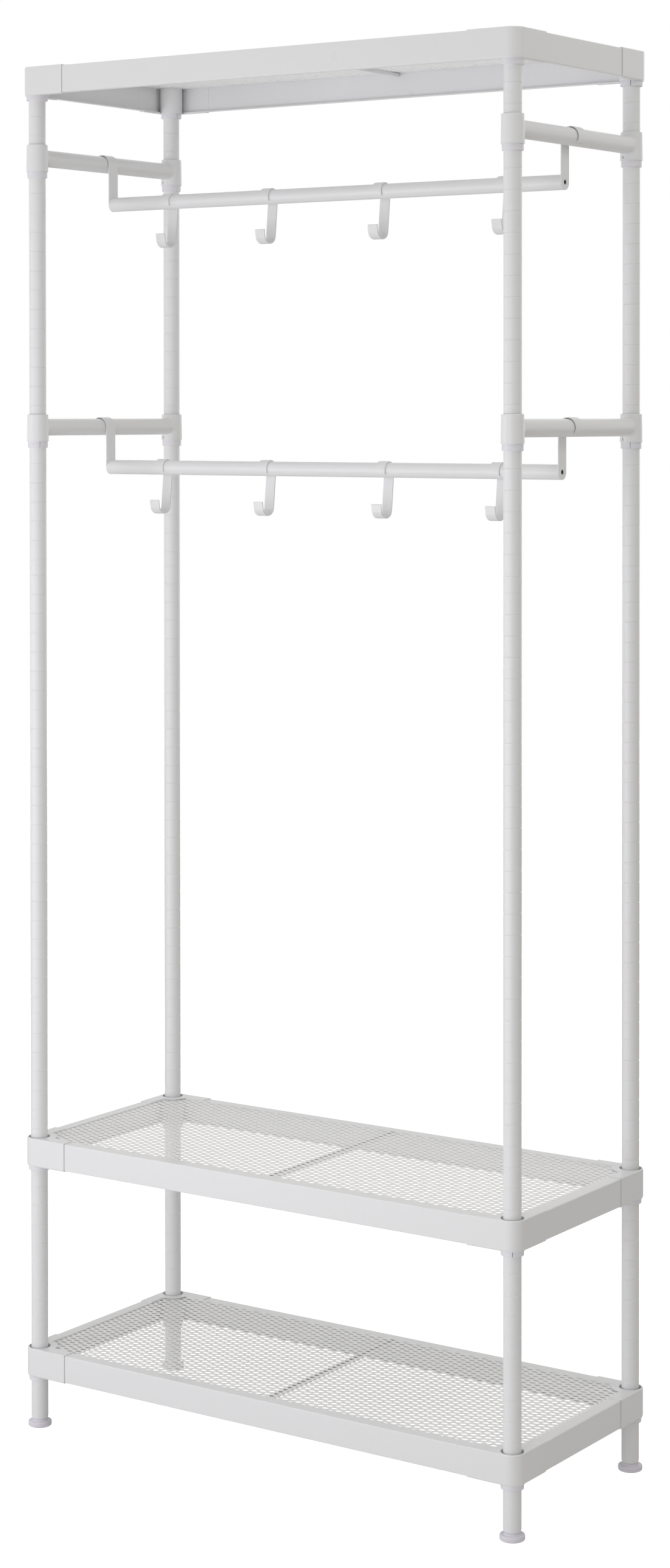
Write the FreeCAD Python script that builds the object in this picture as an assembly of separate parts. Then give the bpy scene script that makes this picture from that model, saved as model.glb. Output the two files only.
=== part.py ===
import FreeCAD, Part
import math
import os

# Coat stand: four grooved posts, three mesh shelves, four side bars and two sliding rods with hooks.
# X is the width, Y the depth with the front at minus Y, Z is up from the floor. Millimetres.

# Posts, each of three tube sections with a groove at every pitch
post_spacing_x = 731.0
post_spacing_y = 291.0
post_diameter = 22.2
post_wall = 1.2
lower_section_length = 540.1
middle_section_length = 600.0
section_end_chamfer = 0.4
post_bottom_chamfer = 1.6
post_bottom_bevel_height = 3.0
post_top_inset = 3.0
groove_pitch = 25.4
groove_depth = 0.4
groove_half_width = 0.7
lower_section_first_groove_rise = 55.9
middle_section_first_groove_rise = 21.2
upper_section_first_groove_rise = 25.8
section_end_margin = 8.0

# Levels, each named by the groove that its split wedges grip, counted up from 0 in its section
grip_drop = 14.0
top_shelf_groove = 24
upper_bar_groove = 20
lower_bar_groove = 6
middle_shelf_groove = 12
bottom_shelf_groove = 1

# Fits
fit_clearance = 0.05
cut_overrun = 5.0

# Threaded inserts, joint studs, top caps
insert_length = 16.0
thread_diameter = 8.0
joint_stud_length = 28.0
cap_plug_length = 12.0
cap_head_height = 2.0
cap_head_bevel = 0.8

# Levelling feet
foot_neck_top = 10.2
foot_neck_gap = 0.3
foot_neck_diameter = 21.0
foot_pad_diameter = 31.0
foot_pad_height = 7.2
foot_pad_edge_radius = 2.0
foot_stud_bottom = 2.0
foot_stud_length = 40.0

# Shelf corner brackets
sheet = 1.0
bracket_height = 37.5
bracket_leg = 70.0
bracket_bend_radius = 2.0
bracket_inner_bend_radius = 1.0
flange_width = 18.0
lower_flange_width = 8.0
shelf_sleeve_gap = 3.1
shelf_sleeve_wall = 1.2
sleeve_weld_depth = 0.2
gusset_margin = 8.6

# Shelf rails
rail_bend_radius = 1.4
rail_inner_bend_radius = 0.4
rail_end_gap = 1.5

# Shelf mesh, drawn with coarser diamonds than the real expanded metal
mesh_thickness = 1.2
mesh_edge_gap = 1.0
mesh_sleeve_gap = 0.4
mesh_strand = 4.0
mesh_columns = 14
mesh_rows = 21

# Shelf brace, a small channel that opens upwards
brace_width = 6.0
brace_depth = 4.0
brace_offset_x = 4.0

# Split wedges
wedge_top_drop = 8.0
wedge_bottom_drop = 44.0
wedge_slit = 0.8
wedge_taper = 1.05
wedge_bottom_bevel = 0.8
wedge_ridge_half_height = 0.5
wedge_ridge_depth = 0.3
skirt_inset = 0.15

# Side bars
bar_diameter = 22.2
bar_wall = 1.2
bar_sleeve_height = 35.6
bar_sleeve_wall = 1.2
bar_sleeve_top_gap = 1.5
bar_sleeve_bottom_gap = 2.1
bar_axis_drop = 17.0
vent_diameter = 3.8
vent_turn = 17.0
vent_rise = 3.6

# Hanger rods and their hook-over brackets
rod_diameter = 19.0
rod_wall = 1.0
rod_drop = 54.4
upper_rod_depth = -0.7
lower_rod_depth = -7.1
strap_thickness = 2.0
strap_vent_diameter = 6.0
strap_wrap_angle = 35.0

# Hooks
hook_width = 14.5
hook_thickness = 2.0
hook_wrap_angle = 32.0
hook_lean_angle = 6.0
hook_shank = 51.0
hook_curl_radius = 10.8
hook_tip_angle = 8.0
hook_tip_length = 9.4
upper_hook_shares = (-0.365, -0.133, 0.1175, 0.379)
lower_hook_shares = (-0.3728, -0.131, 0.1314, 0.3715)

# Direction of each wedge pair's slit, in degrees from the front towards the right
slit_angles = {
    "top": {"front_left": -45.0, "front_right": -60.0, "back_left": 72.0, "back_right": 23.0},
    "middle": {"front_left": -45.0, "front_right": 31.0, "back_left": -50.0, "back_right": 18.5},
    "bottom": {"front_left": -45.0, "front_right": -60.0, "back_left": -50.0, "back_right": -58.0},
    "upper": {"front_left": -45.0, "front_right": -60.0, "back_left": -50.0, "back_right": -58.0},
    "lower": {"front_left": 51.0, "front_right": -60.0, "back_left": -50.0, "back_right": 23.0},
}

# Sizes worked out from the driving ones
post_radius = post_diameter / 2
post_bore_radius = post_radius - post_wall
half_x = post_spacing_x / 2
half_y = post_spacing_y / 2
post_bottom = foot_neck_top + foot_neck_gap
lower_joint = post_bottom + lower_section_length
upper_joint = lower_joint + middle_section_length
lower_first_groove = post_bottom + lower_section_first_groove_rise
middle_first_groove = lower_joint + middle_section_first_groove_rise
upper_first_groove = upper_joint + upper_section_first_groove_rise
thread_radius = thread_diameter / 2
insert_radius = post_bore_radius - fit_clearance
stud_radius = thread_radius - fit_clearance
shelf_bore_radius = post_radius + shelf_sleeve_gap
shelf_sleeve_radius = shelf_bore_radius + shelf_sleeve_wall
corner_radius = shelf_sleeve_radius - sleeve_weld_depth + sheet
outer_x = half_x + corner_radius
outer_y = half_y + corner_radius
rail_height = bracket_height - 2 * sheet
gusset_radius = shelf_sleeve_radius + gusset_margin
bar_radius = bar_diameter / 2
rod_radius = rod_diameter / 2
strap_inner_radius = bar_radius + fit_clearance
strap_outer_radius = strap_inner_radius + strap_thickness
rod_half_length = half_x - strap_outer_radius
rod_length = 2 * rod_half_length
wedge_bore_radius = post_radius + fit_clearance

top_shelf_top = upper_first_groove + top_shelf_groove * groove_pitch + grip_drop
upper_bar_top = upper_first_groove + upper_bar_groove * groove_pitch + grip_drop
lower_bar_top = upper_first_groove + lower_bar_groove * groove_pitch + grip_drop
middle_shelf_top = lower_first_groove + middle_shelf_groove * groove_pitch + grip_drop
bottom_shelf_top = lower_first_groove + bottom_shelf_groove * groove_pitch + grip_drop
post_top = top_shelf_top - post_top_inset

SIDES = {"front_left": (-1, -1), "front_right": (1, -1), "back_left": (-1, 1), "back_right": (1, 1)}
SHELF_TOPS = {"top": top_shelf_top, "middle": middle_shelf_top, "bottom": bottom_shelf_top}
BAR_TOPS = {"upper": upper_bar_top, "lower": lower_bar_top}

ORIGIN = FreeCAD.Vector(0, 0, 0)
ALONG_X = FreeCAD.Vector(1, 0, 0)
ALONG_Y = FreeCAD.Vector(0, 1, 0)
ALONG_Z = FreeCAD.Vector(0, 0, 1)

os.makedirs("parts", exist_ok=True)


def save(node, solids):
    """Write one node's solids to its STEP file."""
    shape = solids[0] if len(solids) == 1 else Part.makeCompound(solids)
    shape.exportStep("parts/" + node + ".step")


def moved(shape, x, y, z):
    """A copy of the shape shifted by x, y and z."""
    copy = shape.copy()
    copy.translate(FreeCAD.Vector(x, y, z))
    return copy


def mirrored(shape, sign_x, sign_y):
    """The shape for the plus, plus corner, turned over to another corner."""
    copy = shape.copy()
    if sign_x < 0:
        copy = copy.mirror(ORIGIN, ALONG_X)
    if sign_y < 0:
        copy = copy.mirror(ORIGIN, ALONG_Y)
    return copy


def revolved(profile):
    """A solid of revolution about Z from a list of (radius, height) points."""
    points = [FreeCAD.Vector(radius, 0, height) for radius, height in profile]
    face = Part.Face(Part.makePolygon(points + points[:1]))
    return face.revolve(ORIGIN, ALONG_Z, 360)


def rod_along_x(radius, start, end):
    """A round bar on the X axis between two places."""
    return Part.makeCylinder(radius, end - start, FreeCAD.Vector(start, 0, 0), ALONG_X)


def rod_along_y(radius, start, end):
    """A round bar on the Y axis between two places."""
    return Part.makeCylinder(radius, end - start, FreeCAD.Vector(0, start, 0), ALONG_Y)


def outline(start, steps):
    """A closed wire from a start point and steps: one point for a line, two for an arc."""
    edges = []
    here = start
    for step in steps:
        if len(step) == 1:
            edges.append(Part.LineSegment(here, step[0]).toShape())
        else:
            edges.append(Part.Arc(here, step[0], step[1]).toShape())
        here = step[-1]
    edges.append(Part.LineSegment(here, start).toShape())
    return Part.Wire(edges)


# Posts

def post_section(bottom, top, first_groove, bottom_chamfer, bottom_chamfer_height):
    """One tube section with a groove at every pitch, its bottom end bevelled and its top chamfered."""
    groove_count = int((top - section_end_margin - first_groove) / groove_pitch) + 1
    profile = [(post_bore_radius, bottom)]
    profile.append((post_radius - bottom_chamfer, bottom))
    profile.append((post_radius, bottom + bottom_chamfer_height))
    for number in range(groove_count):
        height = first_groove + number * groove_pitch
        profile.append((post_radius, height - groove_half_width))
        profile.append((post_radius - groove_depth, height))
        profile.append((post_radius, height + groove_half_width))
    profile.append((post_radius, top - section_end_chamfer))
    profile.append((post_radius - section_end_chamfer, top))
    profile.append((post_bore_radius, top))
    return revolved(profile)


def build_posts():
    """Twelve post sections, the joint studs, the threaded inserts and the top caps."""
    bottom_wall_cut = min(post_bottom_chamfer, post_wall / 2)
    end = section_end_chamfer
    sections = {
        "lower": post_section(
            post_bottom, lower_joint, lower_first_groove, bottom_wall_cut, post_bottom_bevel_height),
        "middle": post_section(lower_joint, upper_joint, middle_first_groove, end, end),
        "upper": post_section(upper_joint, post_top, upper_first_groove, end, end),
    }
    for side, (sign_x, sign_y) in SIDES.items():
        for level, section in sections.items():
            save("post_" + side + "_" + level, [moved(section, sign_x * half_x, sign_y * half_y, 0)])

    insert = revolved([(thread_radius, 0), (insert_radius, 0), (insert_radius, insert_length),
                       (thread_radius, insert_length)])
    stud = Part.makeCylinder(stud_radius, joint_stud_length)
    cap_top = cap_plug_length + cap_head_height
    cap = revolved([(0, 0), (insert_radius, 0), (insert_radius, cap_plug_length),
                    (post_radius, cap_plug_length), (post_radius, cap_top - cap_head_bevel),
                    (post_radius - cap_head_bevel, cap_top), (0, cap_top)])
    inserts = []
    studs = []
    caps = []
    for sign_x, sign_y in SIDES.values():
        x = sign_x * half_x
        y = sign_y * half_y
        inserts.append(moved(insert, x, y, post_bottom))
        for joint in (lower_joint, upper_joint):
            inserts.append(moved(insert, x, y, joint - insert_length))
            inserts.append(moved(insert, x, y, joint))
            studs.append(moved(stud, x, y, joint - joint_stud_length / 2))
        caps.append(moved(cap, x, y, post_top - cap_plug_length))
    save("threaded_inserts", inserts)
    save("post_joint_studs", studs)
    save("post_top_caps", caps)


# Levelling feet

def build_feet():
    """Four moulded pads, each with the threaded stud that is screwed into its post."""
    pad_radius = foot_pad_diameter / 2
    neck_radius = foot_neck_diameter / 2
    edge = foot_pad_edge_radius
    diagonal = edge * math.sqrt(0.5)
    rim_centre = pad_radius - edge
    sole = FreeCAD.Vector(rim_centre, 0, 0)
    low_middle = FreeCAD.Vector(rim_centre + diagonal, 0, edge - diagonal)
    low_rim = FreeCAD.Vector(pad_radius, 0, edge)
    high_rim = FreeCAD.Vector(pad_radius, 0, foot_pad_height - edge)
    high_middle = FreeCAD.Vector(rim_centre + diagonal, 0, foot_pad_height - edge + diagonal)
    crown = FreeCAD.Vector(rim_centre, 0, foot_pad_height)
    neck_base = FreeCAD.Vector(neck_radius, 0, foot_pad_height)
    neck_end = FreeCAD.Vector(neck_radius, 0, foot_neck_top)
    bore_top = FreeCAD.Vector(thread_radius, 0, foot_neck_top)
    bore_bottom = FreeCAD.Vector(thread_radius, 0, foot_stud_bottom)
    floor_of_bore = FreeCAD.Vector(0, 0, foot_stud_bottom)
    wire = outline(ORIGIN, [(sole,), (low_middle, low_rim), (high_rim,), (high_middle, crown),
                            (neck_base,), (neck_end,), (bore_top,), (bore_bottom,), (floor_of_bore,)])
    pad = Part.Face(wire).revolve(ORIGIN, ALONG_Z, 360)
    stud = Part.makeCylinder(stud_radius, foot_stud_length, FreeCAD.Vector(0, 0, foot_stud_bottom))
    for side, (sign_x, sign_y) in SIDES.items():
        save("foot_pad_" + side, [moved(pad, sign_x * half_x, sign_y * half_y, 0)])
        save("foot_stud_" + side, [moved(stud, sign_x * half_x, sign_y * half_y, 0)])


# Shelves

def corner_slab(inset, width, end_overrun, bottom, height):
    """A slab that follows a bracket's rounded corner, from inset to width inside its outer faces."""
    radius = corner_radius - inset
    inner = corner_radius - width
    end = corner_radius - bracket_leg - end_overrun
    middle = radius * math.sqrt(0.5)
    points = [FreeCAD.Vector(end, radius, bottom), FreeCAD.Vector(0, radius, bottom),
              FreeCAD.Vector(middle, middle, bottom), FreeCAD.Vector(radius, 0, bottom),
              FreeCAD.Vector(radius, end, bottom), FreeCAD.Vector(inner, end, bottom),
              FreeCAD.Vector(inner, inner, bottom), FreeCAD.Vector(end, inner, bottom)]
    wire = outline(points[0], [(points[1],), (points[2], points[3]), (points[4],), (points[5],),
                               (points[6],), (points[7],)])
    return Part.Face(wire).extrude(FreeCAD.Vector(0, 0, height))


def rounded_rims(slab, outer_offset, bend, heights):
    """Round the slab's outer edges at the given heights."""
    edges = []
    for edge in slab.Edges:
        box = edge.BoundBox
        level = any(abs(box.ZMin - z) < fit_clearance and abs(box.ZMax - z) < fit_clearance for z in heights)
        on_x = abs(box.XMax - outer_offset) < fit_clearance
        on_y = abs(box.YMax - outer_offset) < fit_clearance
        along_x = on_y and abs(box.YMin - outer_offset) < fit_clearance
        along_y = on_x and abs(box.XMin - outer_offset) < fit_clearance
        if level and (along_x or along_y or (on_x and on_y)):
            edges.append(edge)
    return slab.makeFillet(bend, edges)


def corner_bracket(top):
    """The pressed corner of a shelf for the plus, plus post, with its sleeve, about the post's axis."""
    bottom = top - bracket_height
    wide = corner_radius + gusset_radius
    block = corner_slab(0, wide, 0, bottom, bracket_height)
    block = rounded_rims(block, corner_radius, bracket_bend_radius, (bottom, top))
    hollow = corner_slab(sheet, wide + cut_overrun, cut_overrun, bottom + sheet, rail_height)
    hollow = rounded_rims(
        hollow, corner_radius - sheet, bracket_inner_bend_radius, (bottom + sheet, top - sheet))
    shell = block.cut(hollow)
    plate_trim = corner_slab(
        flange_width, wide + cut_overrun, cut_overrun, top - 2 * sheet, 2 * sheet + cut_overrun)
    plate_trim = plate_trim.cut(Part.makeCylinder(
        gusset_radius, bracket_height, FreeCAD.Vector(0, 0, top - bracket_height / 2)))
    lip_trim = corner_slab(
        lower_flange_width, wide + cut_overrun, cut_overrun, bottom - cut_overrun, 2 * sheet + cut_overrun)
    sleeve = Part.makeCylinder(shelf_sleeve_radius, bracket_height, FreeCAD.Vector(0, 0, bottom))
    bore = Part.makeCylinder(
        shelf_bore_radius, bracket_height + 2 * cut_overrun, FreeCAD.Vector(0, 0, bottom - cut_overrun))
    return shell.cut(plate_trim).cut(lip_trim).fuse(sleeve).cut(bore).removeSplitter()


def rail(half_length, outer_face, bottom, across):
    """One rail of folded sheet; across is the direction from the shelf's middle to its outer face."""
    bend = rail_bend_radius
    inner_bend = rail_inner_bend_radius
    height = rail_height
    top_width = flange_width - sheet
    low_width = lower_flange_width
    bend_mid = bend * (1 - math.sqrt(0.5))
    inner_mid = sheet + inner_bend * (1 - math.sqrt(0.5))
    fold = sheet + inner_bend

    def at(inward, rise):
        spot = across * (outer_face - inward)
        return FreeCAD.Vector(spot.x, spot.y, bottom + rise)

    wire = outline(at(top_width, height), [
        (at(bend, height),),
        (at(bend_mid, height - bend_mid), at(0, height - bend)),
        (at(0, bend),),
        (at(bend_mid, bend_mid), at(bend, 0)),
        (at(low_width, 0),),
        (at(low_width, sheet),),
        (at(fold, sheet),),
        (at(inner_mid, inner_mid), at(sheet, fold)),
        (at(sheet, height - fold),),
        (at(inner_mid, height - inner_mid), at(fold, height - sheet)),
        (at(top_width, height - sheet),),
    ])
    along = ALONG_X if across.y else ALONG_Y
    profile = Part.Face(wire)
    profile.translate(along * -half_length)
    return profile.extrude(along * (2 * half_length))


def mesh_sheet(top):
    """The expanded-metal sheet: one flat face with staggered diamond holes, clear of the sleeves."""
    reach_x = outer_x - 2 * sheet - mesh_edge_gap
    reach_y = outer_y - 2 * sheet - mesh_edge_gap
    open_x = outer_x - flange_width
    open_y = outer_y - flange_width
    pitch_x = 2 * open_x / mesh_columns
    pitch_y = 2 * open_y / mesh_rows
    cell_edge = math.hypot(pitch_x / 2, pitch_y)
    share = 1 - mesh_strand * cell_edge / (pitch_x * pitch_y)
    hole_x = pitch_x / 2 * share
    hole_y = pitch_y * share
    blank = Part.makePlane(2 * reach_x, 2 * reach_y, FreeCAD.Vector(-reach_x, -reach_y, 0))
    notch = Part.Face(Part.Wire(Part.makeCircle(shelf_sleeve_radius + mesh_sleeve_gap)))
    corner = Part.makePlane(2 * corner_radius, 2 * corner_radius)
    notch = moved(notch.fuse(corner), half_x, half_y, 0)
    notches = [mirrored(notch, sign_x, sign_y) for sign_x, sign_y in SIDES.values()]
    wires = [blank.cut(notches).Faces[0].OuterWire]
    for row in range(mesh_rows):
        y = -open_y + (row + 0.5) * pitch_y
        staggered = row % 2
        for column in range(mesh_columns - staggered):
            x = -open_x + (column + 0.5 + staggered / 2) * pitch_x
            to_sleeve = math.hypot(half_x - abs(x), half_y - abs(y))
            if to_sleeve < shelf_sleeve_radius + mesh_strand + hole_x:
                continue
            if abs(y) + hole_y > open_y:
                continue
            tips = [(x - hole_x, y), (x, y + hole_y), (x + hole_x, y), (x, y - hole_y)]
            wires.append(Part.makePolygon([FreeCAD.Vector(a, b, 0) for a, b in tips + tips[:1]]))
    sheet_face = Part.Face(wires, "Part::FaceMakerBullseye")
    solid = sheet_face.extrude(FreeCAD.Vector(0, 0, mesh_thickness))
    return moved(solid, 0, 0, top - 2 * sheet - mesh_thickness)


def brace(top):
    """The channel under the mesh, front to back, open at the top."""
    reach_y = outer_y - 2 * sheet - mesh_edge_gap
    rim = top - 2 * sheet - mesh_thickness
    body = Part.makeBox(brace_width, 2 * reach_y, brace_depth)
    trough = Part.makeBox(brace_width - 2 * sheet, 2 * (reach_y + cut_overrun), brace_depth)
    channel = body.cut(moved(trough, sheet, -cut_overrun, sheet))
    return moved(channel, brace_offset_x - brace_width / 2, -reach_y, rim - brace_depth)


def build_shelf(name, top):
    """The pieces of one shelf, without its wedges."""
    rail_bottom = top - bracket_height + sheet
    long_half = half_x - shelf_sleeve_radius - rail_end_gap
    short_half = half_y - shelf_sleeve_radius - rail_end_gap
    long_face = outer_y - sheet
    short_face = outer_x - sheet
    back = rail(long_half, long_face, rail_bottom, ALONG_Y)
    front = rail(long_half, long_face, rail_bottom, -ALONG_Y)
    right = rail(short_half, short_face, rail_bottom, ALONG_X)
    left = rail(short_half, short_face, rail_bottom, -ALONG_X)
    save(name + "_shelf_long_rails", [front, back])
    save(name + "_shelf_short_rails", [left, right])
    bracket = moved(corner_bracket(top), half_x, half_y, 0)
    save(name + "_shelf_corner_brackets", [mirrored(bracket, sx, sy) for sx, sy in SIDES.values()])
    save(name + "_shelf_mesh", [mesh_sheet(top)])
    save(name + "_shelf_brace", [brace(top)])


# Split wedges

def wedge_pair(top, sleeve_bottom, bore_at_bottom, bore_at_top, slit_angle):
    """Two half shells between a post and a sleeve, with a ridge in the groove that they grip."""
    inner = wedge_bore_radius
    low = top - wedge_bottom_drop
    high = top - wedge_top_drop
    ridge = top - grip_drop
    skirt = bore_at_bottom - skirt_inset
    seat = bore_at_bottom - fit_clearance
    crown = bore_at_top - fit_clearance
    profile = [(inner, low), (skirt - wedge_bottom_bevel, low), (skirt, low + wedge_bottom_bevel),
               (skirt, sleeve_bottom), (seat, sleeve_bottom), (crown, high), (inner, high),
               (inner, ridge + wedge_ridge_half_height), (post_radius - wedge_ridge_depth, ridge),
               (inner, ridge - wedge_ridge_half_height)]
    ring = revolved(profile)
    slab = Part.makeBox(
        4 * bore_at_bottom, wedge_slit, 2 * wedge_bottom_drop,
        FreeCAD.Vector(-2 * bore_at_bottom, -wedge_slit / 2, low - cut_overrun))
    slab.rotate(ORIGIN, ALONG_Z, slit_angle - 90)
    return ring.cut(slab).Solids


def build_wedges():
    """The split wedges of the shelves and of the side bars."""
    bar_slope = bar_sleeve_bottom_gap - bar_sleeve_top_gap
    bar_bore_bottom = post_radius + bar_sleeve_bottom_gap
    bar_bore_top = post_radius + bar_sleeve_top_gap + bar_slope * wedge_top_drop / bar_sleeve_height
    shelf_halves = []
    for level, top in SHELF_TOPS.items():
        for side, (sign_x, sign_y) in SIDES.items():
            halves = wedge_pair(top, top - bracket_height, shelf_bore_radius,
                                shelf_bore_radius - wedge_taper, slit_angles[level][side])
            shelf_halves += [moved(half, sign_x * half_x, sign_y * half_y, 0) for half in halves]
    save("shelf_wedges", shelf_halves)
    for level, top in BAR_TOPS.items():
        bar_halves = []
        for side, (sign_x, sign_y) in SIDES.items():
            halves = wedge_pair(top, top - bar_sleeve_height, bar_bore_bottom, bar_bore_top,
                                slit_angles[level][side])
            bar_halves += [moved(half, sign_x * half_x, sign_y * half_y, 0) for half in halves]
        save(level + "_bar_wedges", bar_halves)


# Side bars

def side_bar(top):
    """A tube welded between two tapered post sleeves, about the middle of the bar in X and Y."""
    bottom = top - bar_sleeve_height
    bore_top = post_radius + bar_sleeve_top_gap
    bore_bottom = post_radius + bar_sleeve_bottom_gap
    wall = bar_sleeve_wall
    sleeve = revolved([(bore_bottom, bottom), (bore_bottom + wall, bottom), (bore_top + wall, top),
                       (bore_top, top)])
    core = revolved([(0, bottom - cut_overrun), (bore_bottom + wall / 2, bottom - cut_overrun),
                     (bore_bottom + wall / 2, bottom), (bore_top + wall / 2, top),
                     (bore_top + wall / 2, top + cut_overrun), (0, top + cut_overrun)])
    axis_height = top - bar_axis_drop
    tube = rod_along_y(bar_radius, -half_y, half_y)
    tube = moved(tube.cut(rod_along_y(bar_radius - bar_wall, -half_y, half_y)), 0, 0, axis_height)
    vent = rod_along_y(vent_diameter / 2, -2 * bar_radius, 0)
    vent.rotate(ORIGIN, ALONG_Z, -vent_turn)
    vent = moved(vent, 0, half_y, bottom + vent_rise)
    other_vent = vent.copy()
    other_vent.rotate(ORIGIN, ALONG_Z, 180)
    bar = tube
    for sign in (-1, 1):
        bar = bar.cut(moved(core, 0, sign * half_y, 0))
    for sign in (-1, 1):
        bar = bar.fuse(moved(sleeve, 0, sign * half_y, 0))
    return bar.cut(vent).cut(other_vent).removeSplitter()


def build_side_bars():
    """Four side bars: upper and lower, left and right."""
    for level, top in BAR_TOPS.items():
        bar = side_bar(top)
        save(level + "_side_bar_left", [moved(bar, -half_x, 0, 0)])
        save(level + "_side_bar_right", [moved(bar, half_x, 0, 0)])


# Hanger rods

def arc_point(centre_x, centre_z, radius, degrees):
    """A point at an angle on a circle in the XZ plane."""
    angle = math.radians(degrees)
    return FreeCAD.Vector(centre_x + radius * math.cos(angle), 0, centre_z + radius * math.sin(angle))


def rod_bracket(bar_height):
    """The right-hand strap: down the bar's inner side to the rod's end, its top hooked over the bar."""
    rod_height = bar_height - rod_drop
    end = rod_height - rod_radius
    inner = strap_inner_radius
    outer = strap_outer_radius
    top_middle = 90 - strap_wrap_angle / 2
    wire = outline(FreeCAD.Vector(half_x - outer, 0, end), [
        (FreeCAD.Vector(half_x - outer, 0, bar_height),),
        (arc_point(half_x, bar_height, outer, top_middle),
         arc_point(half_x, bar_height, outer, -strap_wrap_angle)),
        (arc_point(half_x, bar_height, inner, -strap_wrap_angle),),
        (arc_point(half_x, bar_height, inner, top_middle),
         FreeCAD.Vector(half_x - inner, 0, bar_height)),
        (FreeCAD.Vector(half_x - inner, 0, end),),
    ])
    strap = Part.Face(wire)
    strap.translate(ALONG_Y * -rod_radius)
    strap = strap.extrude(ALONG_Y * rod_diameter)
    width_x = 2 * outer + cut_overrun
    left_x = half_x - outer - cut_overrun / 2
    upright = Part.makeBox(width_x, rod_diameter, rod_drop + 2 * outer,
                           FreeCAD.Vector(left_x, -rod_radius, rod_height))
    rounded_end = moved(rod_along_x(rod_radius, left_x, left_x + width_x), 0, 0, rod_height)
    vent = moved(rod_along_x(strap_vent_diameter / 2, left_x, half_x), 0, 0, rod_height)
    return strap.common(upright.fuse(rounded_end)).cut(vent).removeSplitter()


def build_rods():
    """The two hanger rods, each a tube with a strap bracket at both ends."""
    tube = rod_along_x(rod_radius, -rod_half_length, rod_half_length)
    tube = tube.cut(rod_along_x(rod_radius - rod_wall, -rod_half_length, rod_half_length))
    for level, depth in (("upper", upper_rod_depth), ("lower", lower_rod_depth)):
        bar_height = BAR_TOPS[level] - bar_axis_drop
        bracket = moved(rod_bracket(bar_height), 0, depth, 0)
        save(level + "_hanger_rod", [moved(tube, 0, depth, bar_height - rod_drop)])
        save(level + "_rod_bracket_right", [bracket])
        save(level + "_rod_bracket_left", [bracket.mirror(ORIGIN, ALONG_X)])


# Hooks

def hook():
    """One hook about the rod's axis: a clip over the rod, a shank behind it and a curl to the front."""
    clip_inner = rod_radius + fit_clearance
    clip_outer = clip_inner + hook_thickness
    lean = math.radians(hook_lean_angle)
    tip = math.radians(hook_tip_angle)
    wrap = math.radians(180 + hook_wrap_angle)
    clip_middle = (wrap - lean) / 2
    curl_inner = hook_curl_radius
    curl_outer = hook_curl_radius + hook_thickness
    down_y = -math.sin(lean)
    down_z = -math.cos(lean)
    inner_foot = (clip_inner * math.cos(lean) + hook_shank * down_y,
                  -clip_inner * math.sin(lean) + hook_shank * down_z)
    curl_y = inner_foot[0] - curl_inner * math.cos(lean)
    curl_z = inner_foot[1] + curl_inner * math.sin(lean)
    curl_bottom = -(lean + (math.pi - lean - tip) / 2)

    def on_clip(radius, angle):
        return FreeCAD.Vector(0, radius * math.cos(angle), radius * math.sin(angle))

    def on_curl(radius, angle):
        return FreeCAD.Vector(0, curl_y + radius * math.cos(angle), curl_z + radius * math.sin(angle))

    def on_tip(radius):
        start = on_curl(radius, tip - math.pi)
        rise = FreeCAD.Vector(0, -math.sin(tip), math.cos(tip))
        return start + rise * hook_tip_length

    curl_end = tip - math.pi
    wire = outline(on_clip(clip_outer, wrap), [
        (on_clip(clip_outer, clip_middle), on_clip(clip_outer, -lean)),
        (on_curl(curl_outer, -lean),),
        (on_curl(curl_outer, curl_bottom), on_curl(curl_outer, curl_end)),
        (on_tip(curl_outer),),
        (on_tip(curl_inner),),
        (on_curl(curl_inner, curl_end),),
        (on_curl(curl_inner, curl_bottom), on_curl(curl_inner, -lean)),
        (on_clip(clip_inner, -lean),),
        (on_clip(clip_inner, clip_middle), on_clip(clip_inner, wrap)),
    ])
    profile = Part.Face(wire)
    profile.translate(ALONG_X * (-hook_width / 2))
    return profile.extrude(ALONG_X * hook_width)


def build_hooks():
    """Four hooks on each hanger rod, each its own node."""
    shape = hook()
    rods = (("upper", upper_rod_depth, upper_hook_shares), ("lower", lower_rod_depth, lower_hook_shares))
    for level, depth, shares in rods:
        rod_height = BAR_TOPS[level] - bar_axis_drop - rod_drop
        for number, share in enumerate(shares, start=1):
            save(level + "_hook_" + str(number), [moved(shape, share * rod_length, depth, rod_height)])


build_posts()
build_feet()
for shelf_name, shelf_top in SHELF_TOPS.items():
    build_shelf(shelf_name, shelf_top)
build_wedges()
build_side_bars()
build_rods()
build_hooks()
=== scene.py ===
import logging
import math
from contextlib import contextmanager
from dataclasses import dataclass, field
from enum import Enum
from typing import Callable, Iterator, Sequence

import bmesh
import bpy
from mathutils import Matrix, Vector


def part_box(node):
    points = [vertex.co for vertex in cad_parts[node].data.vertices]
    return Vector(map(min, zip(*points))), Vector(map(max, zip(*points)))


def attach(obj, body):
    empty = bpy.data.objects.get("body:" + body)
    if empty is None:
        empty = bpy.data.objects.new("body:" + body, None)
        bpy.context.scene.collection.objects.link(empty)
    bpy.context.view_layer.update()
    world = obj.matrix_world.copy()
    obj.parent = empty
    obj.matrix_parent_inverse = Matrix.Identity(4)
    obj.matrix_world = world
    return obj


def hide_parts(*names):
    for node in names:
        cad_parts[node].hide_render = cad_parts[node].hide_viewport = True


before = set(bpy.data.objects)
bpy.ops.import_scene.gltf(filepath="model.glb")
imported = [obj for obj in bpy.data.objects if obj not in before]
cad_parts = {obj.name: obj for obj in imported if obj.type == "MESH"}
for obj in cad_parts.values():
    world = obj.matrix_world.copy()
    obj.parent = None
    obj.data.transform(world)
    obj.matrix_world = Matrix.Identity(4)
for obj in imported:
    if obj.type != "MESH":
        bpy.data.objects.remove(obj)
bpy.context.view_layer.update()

LOG = logging.getLogger("coat_stand")
IMAGE_WIDTH = 1101
IMAGE_HEIGHT = 2576
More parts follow.
